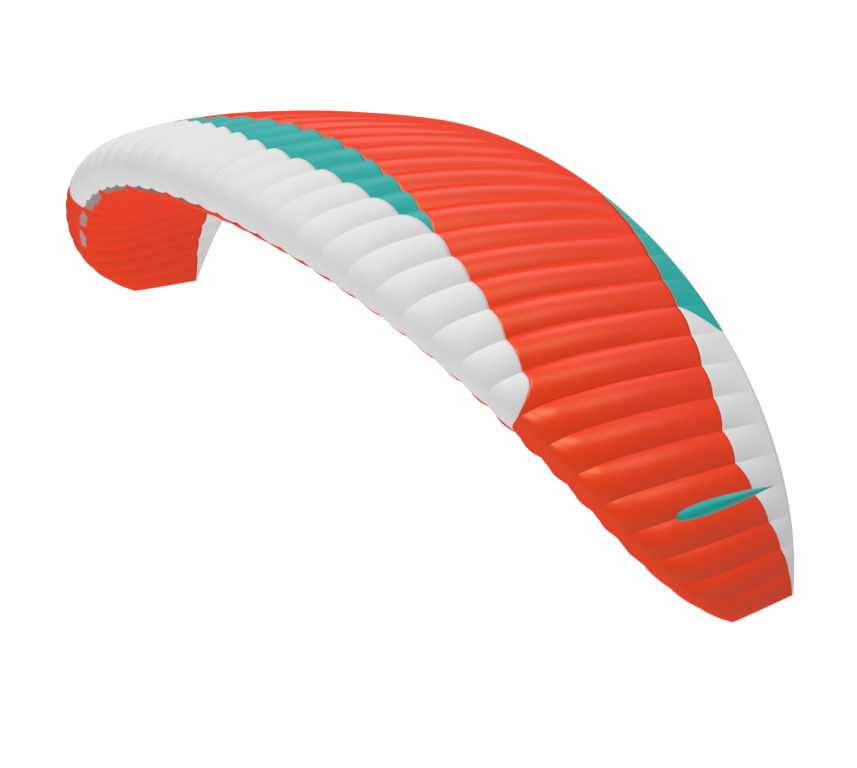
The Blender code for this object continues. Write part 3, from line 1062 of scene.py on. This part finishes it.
def cloth_material(name, colour, sheen, roughness, gloss, edge_gloss, weave, wear):
    """Coated ripstop: satin, a little uneven in shade, with the threads' grid just showing.

    The weave scatters light that grazes it, so the gloss falls from gloss to edge_gloss there.
    """
    material, shader, tree = new_material(name)
    woven = tree.add("ShaderNodeGroup", node_tree=weave)
    uneven = tree.add("ShaderNodeGroup", node_tree=wear)
    darker = [c * (1.0 - UNEVEN_SHADE) for c in colour] + [1.0]
    lighter = [min(1.0, c * (1.0 + UNEVEN_SHADE)) for c in colour] + [1.0]
    tone = tree.colours(uneven.outputs["Mask"], darker, lighter)
    thread = (WEAVE_SHADE, WEAVE_SHADE, WEAVE_SHADE, 1.0)
    grid = tree.colours(woven.outputs["Mask"], tone, thread, "MULTIPLY")
    creases = {
        "Height": uneven.outputs["Creases"],
        "Distance": CREASE_HEIGHT,
        "Strength": CREASE_BUMP,
    }
    creased = tree.add("ShaderNodeBump", creases)
    ridges = {
        "Height": woven.outputs["Mask"],
        "Distance": WEAVE_HEIGHT,
        "Strength": WEAVE_BUMP,
        "Normal": creased.outputs[0],
    }
    ridged = tree.add("ShaderNodeBump", ridges)
    facing = tree.add("ShaderNodeLayerWeight", {"Blend": FACING_BLEND}).outputs["Facing"]
    fall = {
        "Value": facing,
        "From Min": GLOSS_FALL[0],
        "From Max": GLOSS_FALL[1],
        "To Min": gloss,
        "To Max": edge_gloss,
    }
    satin = tree.add("ShaderNodeMapRange", fall)
    shader.inputs["Roughness"].default_value = roughness
    shader.inputs["Specular Tint"].default_value = (*sheen, 1.0)
    shader.inputs["Specular IOR Level"].default_value = (gloss + edge_gloss) / 2
    tree.link(grid, shader.inputs["Base Color"])
    tree.link(ridged.outputs[0], shader.inputs["Normal"])
    tree.link(satin.outputs["Result"], shader.inputs["Specular IOR Level"])
    return material


def rib_material():
    """Inner cloth: grey as painted shade, and a little glow as painted daylight through the thin
    skins.
    """
    material, shader, _ = new_material("inner_cloth_painted_shade")
    # Grey base: painted shade inside the wing
    shader.inputs["Base Color"].default_value = (*RIB_GREY_PAINTED_SHADE, 1.0)
    shader.inputs["Roughness"].default_value = RIB_ROUGHNESS
    # Glow: painted light for the daylight that comes through the skins
    shader.inputs["Emission Color"].default_value = (1.0, 1.0, 1.0, 1.0)
    shader.inputs["Emission Strength"].default_value = INNER_GLOW_PAINTED_LIGHT
    return material


def yarn_material():
    """Pale polyester thread, with a fine twist along it."""
    material, shader, tree = new_material("pale_thread")
    place = tree.add("ShaderNodeTexCoord").outputs["Object"]
    inputs = {"Vector": place, "Scale": YARN_SCALE, "Detail": YARN_DETAIL}
    twist = tree.add("ShaderNodeTexNoise", inputs).outputs["Fac"]
    inputs = {"Height": twist, "Distance": YARN_HEIGHT, "Strength": YARN_BUMP}
    bump = tree.add("ShaderNodeBump", inputs)
    shader.inputs["Base Color"].default_value = (*THREAD_WHITE, 1.0)
    shader.inputs["Roughness"].default_value = THREAD_ROUGHNESS
    tree.link(bump.outputs[0], shader.inputs["Normal"])
    return material


def add_floor():
    """A pale floor far below, with painted shade right under the wing."""
    mesh = bpy.data.meshes.new("studio_floor")
    half = FLOOR_SIZE / 2
    corners = [(-half, -half), (half, -half), (half, half), (-half, half)]
    mesh.from_pydata([(x, y, -FLOOR_DROP) for x, y in corners], [], [(0, 1, 2, 3)])
    material, shader, tree = new_material("floor_painted_shade")
    place = tree.add("ShaderNodeTexCoord").outputs["Object"]
    inputs = {0: place, 1: (0.0, 0.0, -FLOOR_DROP)}
    away = tree.add("ShaderNodeVectorMath", inputs, operation="DISTANCE").outputs["Value"]
    inputs = {"Value": away, "From Min": FLOOR_RAMP[0], "From Max": FLOOR_RAMP[1]}
    ramp = tree.add("ShaderNodeMapRange", inputs).outputs["Result"]
    # Painted shade right under the wing, pale further out
    shade = tree.colours(ramp, (*FLOOR_NEAR_PAINTED_SHADE, 1.0), (*FLOOR_FAR, 1.0))
    tree.link(shade, shader.inputs["Base Color"])
    shader.inputs["Roughness"].default_value = 1.0
    shader.inputs["Specular IOR Level"].default_value = 0.0
    mesh.materials.append(material)
    floor = add_object("studio_floor", mesh)
    # Its grey stays out of the cloth's gloss
    floor.visible_glossy = False


def add_sky():
    """Even light from all around, which looks pale to the camera."""
    world = bpy.data.worlds.new("studio_air")
    world.use_nodes = True
    tree = Tree(world.node_tree)
    background = world.node_tree.nodes["Background"]
    background.inputs["Color"].default_value = (1.0, 1.0, 1.0, 1.0)
    background.inputs["Strength"].default_value = SKY
    seen = tree.add("ShaderNodeLightPath").outputs["Is Camera Ray"]
    glow = tree.add("ShaderNodeMapRange", {"Value": seen, "To Min": SKY, "To Max": SEEN_SKY})
    tree.link(glow.outputs["Result"], background.inputs["Strength"])
    bpy.context.scene.world = world


def add_lamps():
    """Soft lamps that cast no shadows, as in open air on a hazy day."""
    for name, from_place, strength, in_gloss in LAMPS:
        light = bpy.data.lights.new(name, "SUN")
        light.energy = strength
        light.angle = math.radians(LAMP_ANGLE)
        light.use_shadow = False
        lamp = add_object(name, light)
        lamp.rotation_euler = Vector(from_place).to_track_quat("Z", "Y").to_euler()
        lamp.visible_glossy = in_gloss


def add_camera():
    """The view of the wing from above and beside its port tip."""
    lens = bpy.data.cameras.new("view_of_the_wing")
    lens.lens = LENS
    lens.sensor_width = SENSOR
    lens.clip_end = CLIP_END
    camera = add_object("view_of_the_wing", lens)
    camera.location = CAMERA_PLACE
    camera.rotation_euler = Euler([math.radians(turn) for turn in CAMERA_TURN])
    bpy.context.scene.camera = camera
    bpy.context.scene.view_settings.view_transform = "Standard"


# --- the wing ------------------------------------------------------------------------------


def cut_size(facts, rows, patches):
    """Width of a cut panel along the span, eased for the swelling, and its greatest length."""
    corners = np.array(patches)
    start = facts["along"][corners[:, 0]]
    end = facts["along"][corners[:, 3]]
    column = corners[:, 0] // rows
    length = np.zeros(column.max() + 1)
    np.add.at(length, column, end - start)
    across = facts["across"][corners]
    # A shallow parabola is longer than its chord by 8/3 of the square of its height
    ease = 1.0 + 8.0 / 3.0 * UPPER_BILLOW**2
    return float(across.max() - across.min()) * ease, float(length.max())


def panel_slot(node):
    """The slot of the cloth that a panel is cut from."""
    if node.startswith(("nose", "tail_white", "tail_lower")):
        return "white_cloth"
    if node.startswith(("band", "tail_teal")):
        return "teal_cloth"
    return "red_cloth"


def add_skins(cloths, inside):
    """All panels of both skins."""
    swelling = swelling_tree()
    for columns, stations, panel_of in (
        (UPPER_COLUMNS, upper_stations, upper_panel),
        (LOWER_COLUMNS, lower_stations, lower_panel),
    ):
        places, facts, rows = skin_grid(columns, stations)
        for node, patches in panel_patches(columns, rows, panel_of).items():
            slot = panel_slot(node)
            mesh = grid_mesh(f"{node}_cloth", places, facts, patches)
            panel = add_panel(f"{node}_cloth", node, mesh, swelling, cloths[slot], inside)
            flat = cut_size(facts, rows, patches)
            cloth_area(panel.data)


def main():
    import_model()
    weave = ripstop_group()
    wear = wear_group()
    cloths = {}
    for slot, name, *finish in CLOTHS:
        cloths[slot] = cloth_material(name, *finish, weave, wear)
    inner = rib_material()
    add_skins(cloths, inner)
    for j in range(1, CELLS):
        add_rib(j, inner)
    add_winglet("winglet_of_starboard", "winglet_starboard", WINGLET_RIB, cloths["teal_cloth"])
    add_winglet("winglet_of_port", "winglet_port", CELLS - WINGLET_RIB, cloths["teal_cloth"])
    stitches = stitch_tree()
    yarn = yarn_material()
    add_stitches("upper_stitching", upper_lines(), stitches, yarn)
    add_stitches("lower_stitching", lower_lines(), stitches, yarn)
    add_floor()
    add_sky()
    add_lamps()
    add_camera()


main()
